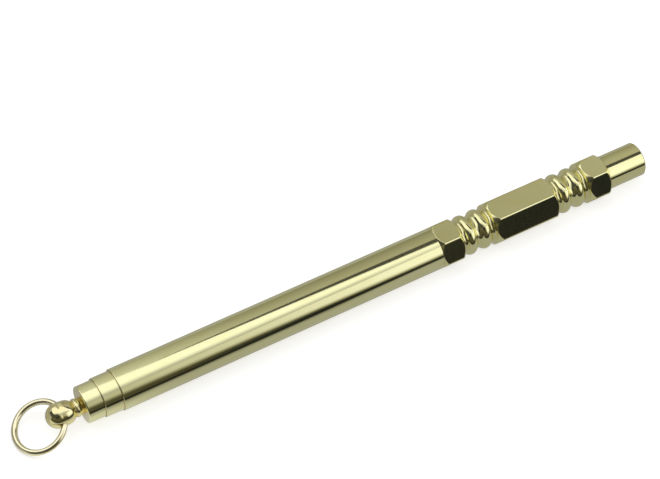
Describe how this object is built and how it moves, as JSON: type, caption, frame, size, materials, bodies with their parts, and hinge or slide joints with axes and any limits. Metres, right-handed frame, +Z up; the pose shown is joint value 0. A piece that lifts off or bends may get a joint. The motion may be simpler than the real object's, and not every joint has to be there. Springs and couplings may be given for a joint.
{
  "type": "telescopic brass wand",
  "caption": "Slim polished brass hand tool: hexagon handle with turned beads and coves and a plain round tip, telescoping tubes, and a ball end that carries a loose ring.",
  "frame": {"origin": "under the middle of the closed tool's length, on the surface it lies on, below the tubes' axis", "axes": "+X along the tool towards the handle's plain tip, +Z up from the surface that the hexagon's flat rests on"},
  "size_m": [0.1318, 0.0108, 0.008],
  "materials": {
    "handle_brass": "polished, with fine turning marks",
    "tube_brass": "polished drawn tube",
    "finial_brass": "polished, turned",
    "ring_brass": "bright drawn wire",
    "hidden_brass": "as turned",
    "spring_bronze": "rolled strip"
  },
  "bodies": {
    "handle_and_barrel": {"handle": "handle_brass", "barrel_tube": "tube_brass"},
    "middle_springs": {"middle_spring_upper": "spring_bronze", "middle_spring_lower": "spring_bronze"},
    "middle_sleeve": {"middle_tube": "tube_brass", "middle_tail_bush": "hidden_brass"},
    "inner_springs": {"inner_spring_upper": "spring_bronze", "inner_spring_lower": "spring_bronze"},
    "inner_sleeve": {"inner_tube": "tube_brass", "inner_tail_bush": "hidden_brass", "end_cap": "finial_brass", "ball_finial": "finial_brass"},
    "ring": {"pull_ring": "ring_brass"}
  },
  "joints": [
    {"name": "middle_slide", "type": "slide", "parent": "handle_and_barrel", "child": "middle_springs", "axis": [-1, 0, 0], "range_m": [0, 0.052]},
    {"name": "middle_spin", "type": "hinge", "parent": "middle_springs", "child": "middle_sleeve", "pos_m": [0, 0, 0.004], "axis": [1, 0, 0], "continuous": true},
    {"name": "inner_slide", "type": "slide", "parent": "middle_sleeve", "child": "inner_springs", "axis": [-1, 0, 0], "range_m": [0, 0.0485]},
    {"name": "inner_spin", "type": "hinge", "parent": "inner_springs", "child": "inner_sleeve", "pos_m": [0, 0, 0.004], "axis": [1, 0, 0], "continuous": true},
    {"name": "ring_swing", "type": "hinge", "parent": "inner_sleeve", "child": "ring", "pos_m": [-0.05686, 0, 0.004], "axis": [0, 1, 0], "range_deg": [-127, 172]}
  ]
}
